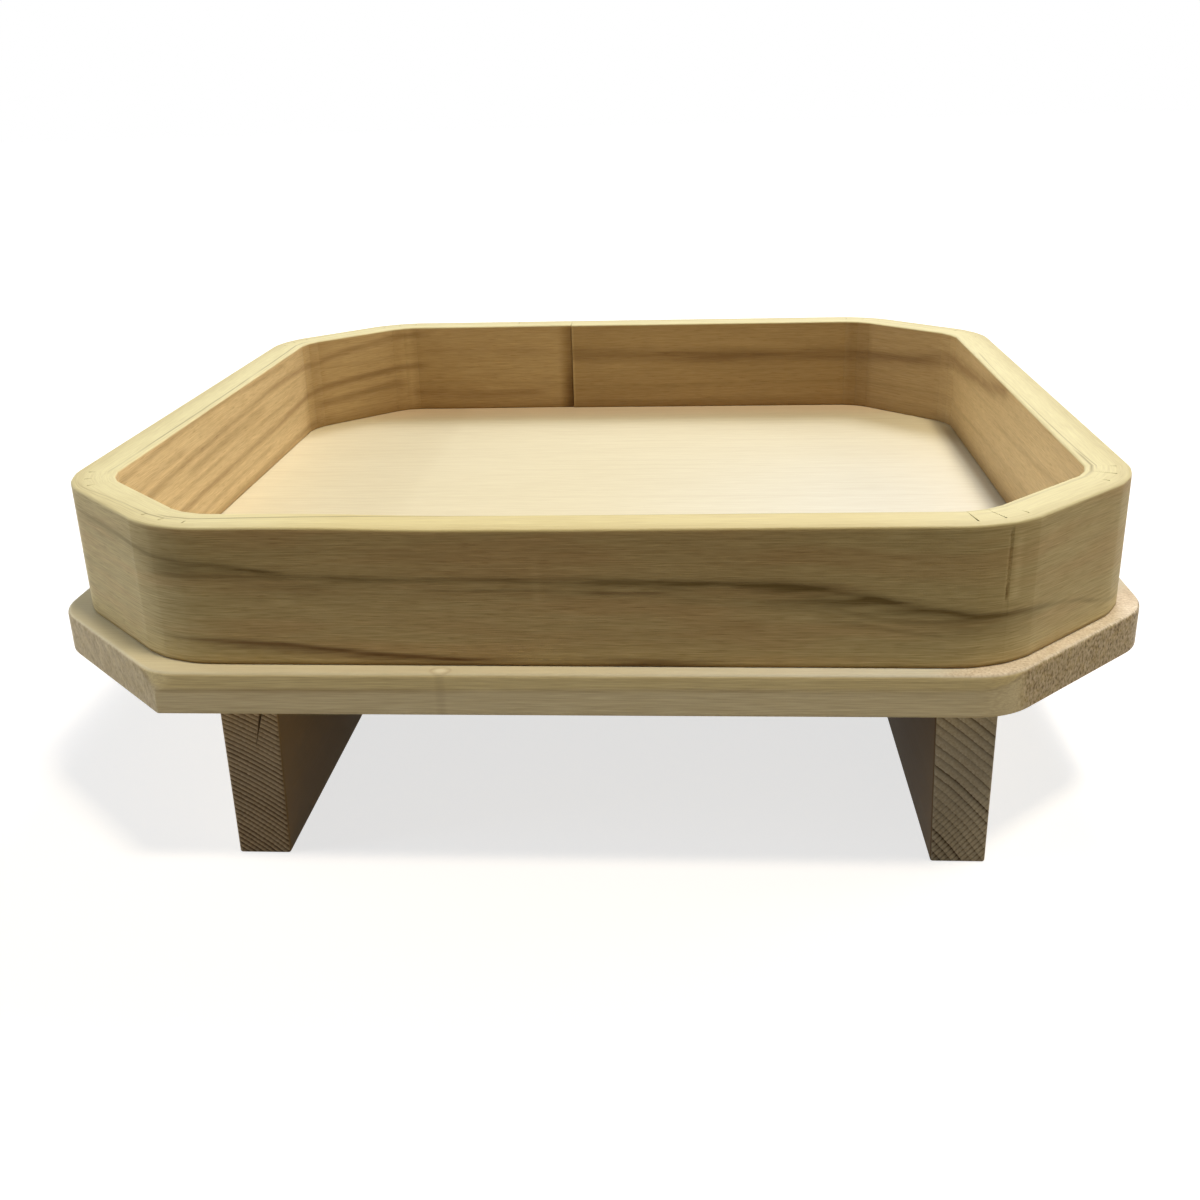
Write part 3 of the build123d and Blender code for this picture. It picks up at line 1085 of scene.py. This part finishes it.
def dowel_wood():
    """Round dowels of a plain pale wood, grain upright."""
    wood = Surface("dowel_wood", "Z", "X", "Y")
    fibre = wood.fibres(9, 0.25, detail=3.0)
    colour = wood.blend(fibre.step(0.3, 0.7), to_linear(220, 196, 150), to_linear(186, 156, 108))
    return wood.finish(colour, 0.55 + (fibre - 0.5) * 0.2, fibre, 0.02, gloss=0.2)


dress(build_rim(), "rim_hoop", rim_wood())
dress(build_board(), "base_board", board_wood())
left_plank = cut_crack(build_foot("left_plank_foot", "left_foot", 1))
dress(left_plank, "left_foot", left_foot_wood())
dress(build_foot("right_plank_foot", "right_foot", -1), "right_foot", right_foot_wood())
dress(build_pegs(), "rim_pegs", bamboo())
dowel_material = dowel_wood()
for node in ("left_foot_dowels", "right_foot_dowels"):
    for material_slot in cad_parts[node].material_slots:
        material_slot.material = dowel_material


# Floor and background: white to the camera, a plain brown table to the light that
# they throw back on the wood

def white_where_seen(tree):
    """1 for rays that show the background: straight, mirrored or through glass."""
    path = tree.nodes.new("ShaderNodeLightPath")
    camera = Signal(path.outputs["Is Camera Ray"])
    glossy = Signal(path.outputs["Is Glossy Ray"])
    clear = Signal(path.outputs["Is Transmission Ray"])
    return camera.math("MAXIMUM", glossy).math("MAXIMUM", clear)


def build_floor():
    half = 3000.0
    floor = make_piece(
        "floor", [(-half, -half, 0), (half, -half, 0), (half, half, 0), (-half, half, 0)],
        [(0, 1, 2, 3)],
    )
    material = bpy.data.materials.new("floor")
    material.use_nodes = True
    tree = material.node_tree
    tree.nodes.clear()
    output = tree.nodes.new("ShaderNodeOutputMaterial")
    seen = white_where_seen(tree)
    bounce = tree.nodes.new("ShaderNodeBsdfDiffuse")
    bounce.inputs["Color"].default_value = (0.4, 0.36, 0.28, 1)
    glow = tree.nodes.new("ShaderNodeEmission")
    glow.inputs["Color"].default_value = (1, 1, 1, 1)
    place = tree.nodes.new("ShaderNodeTexCoord")
    distance = tree.nodes.new("ShaderNodeVectorMath")
    distance.operation = "LENGTH"
    tree.links.new(place.outputs["Object"], distance.inputs[0])
    far_off = Signal(distance.outputs["Value"]).step(0.18, 0.7)
    feed(far_off * 0.28 + 0.72, glow.inputs["Strength"])
    shade = tree.nodes.new("ShaderNodeBsdfDiffuse")
    shade.inputs["Color"].default_value = (0.5, 0.5, 0.5, 1)
    lit = tree.nodes.new("ShaderNodeAddShader")
    tree.links.new(glow.outputs[0], lit.inputs[0])
    tree.links.new(shade.outputs[0], lit.inputs[1])
    choice = tree.nodes.new("ShaderNodeMixShader")
    tree.links.new(seen.socket, choice.inputs[0])
    tree.links.new(bounce.outputs[0], choice.inputs[1])
    tree.links.new(lit.outputs[0], choice.inputs[2])
    tree.links.new(choice.outputs[0], output.inputs["Surface"])
    floor.data.materials.append(material)


def build_world():
    world = bpy.data.worlds.new("studio")
    bpy.context.scene.world = world
    world.use_nodes = True
    tree = world.node_tree
    tree.nodes.clear()
    output = tree.nodes.new("ShaderNodeOutputWorld")
    seen = white_where_seen(tree)
    ambient = tree.nodes.new("ShaderNodeBackground")
    ambient.inputs["Color"].default_value = (0.825, 0.877, 1.0, 1)
    ambient.inputs["Strength"].default_value = 0.055
    white = tree.nodes.new("ShaderNodeBackground")
    white.inputs["Color"].default_value = (1, 1, 1, 1)
    white.inputs["Strength"].default_value = 1.0
    choice = tree.nodes.new("ShaderNodeMixShader")
    tree.links.new(seen.socket, choice.inputs[0])
    tree.links.new(ambient.outputs[0], choice.inputs[1])
    tree.links.new(white.outputs[0], choice.inputs[2])
    tree.links.new(choice.outputs[0], output.inputs["Surface"])


def add_soft_lamp(name, place, aim, size, power, colour):
    """A square area lamp; place and aim in millimetres, power in watts."""
    data = bpy.data.lights.new(name, "AREA")
    data.shape = "SQUARE"
    data.size = size * MM
    data.energy = power
    data.color = colour
    lamp = bpy.data.objects.new(name, data)
    lamp.location = Vector(place) * MM
    lamp.rotation_mode = "QUATERNION"
    lamp.rotation_quaternion = (Vector(aim) - Vector(place)).to_track_quat("-Z", "Y")
    bpy.context.scene.collection.objects.link(lamp)


build_floor()
build_world()
middle = (0, 0, 30)
add_soft_lamp("key_lamp", (230, -190, 950), middle, 150, 4.95, (1.0, 0.877, 0.693))
add_soft_lamp("back_lamp", (160, 560, 689), middle, 260, 3.9, (0.828, 0.862, 1.0))
add_soft_lamp("left_lamp", (-800, -150, 300), middle, 450, 1.83, (0.84, 0.885, 1.0))
add_soft_lamp("right_lamp", (780, 330, 350), middle, 450, 2.4, (1.0, 1.0, 0.98))
add_soft_lamp("far_left_lamp", (-780, 330, 350), middle, 450, 1.3, (1.0, 0.97, 0.845))


# Camera, where a fit of the stand's edges in the photograph puts it

def place_camera():
    position = (14.854, -222.898, 96.640)
    yaw, pitch, roll = radians(4.476), radians(21.523), radians(-1.694)
    data = bpy.data.cameras.new("camera")
    data.sensor_width = 36.0
    data.lens = 39.39
    data.clip_start = 0.01
    data.clip_end = 20.0
    camera = bpy.data.objects.new("camera", data)
    camera.location = Vector(position) * MM
    ahead = Vector((-sin(yaw) * cos(pitch), cos(yaw) * cos(pitch), -sin(pitch)))
    level_right = Vector((cos(yaw), sin(yaw), 0))
    level_up = level_right.cross(ahead)
    right = level_right * cos(roll) + level_up * sin(roll)
    up = level_up * cos(roll) - level_right * sin(roll)
    camera.rotation_mode = "QUATERNION"
    axes = [right, up, -ahead]
    turn = [[axes[column][row] for column in range(3)] for row in range(3)]
    camera.rotation_quaternion = Matrix(turn).to_quaternion()
    bpy.context.scene.collection.objects.link(camera)
    bpy.context.scene.camera = camera


place_camera()
bpy.context.scene.view_settings.view_transform = "Standard"
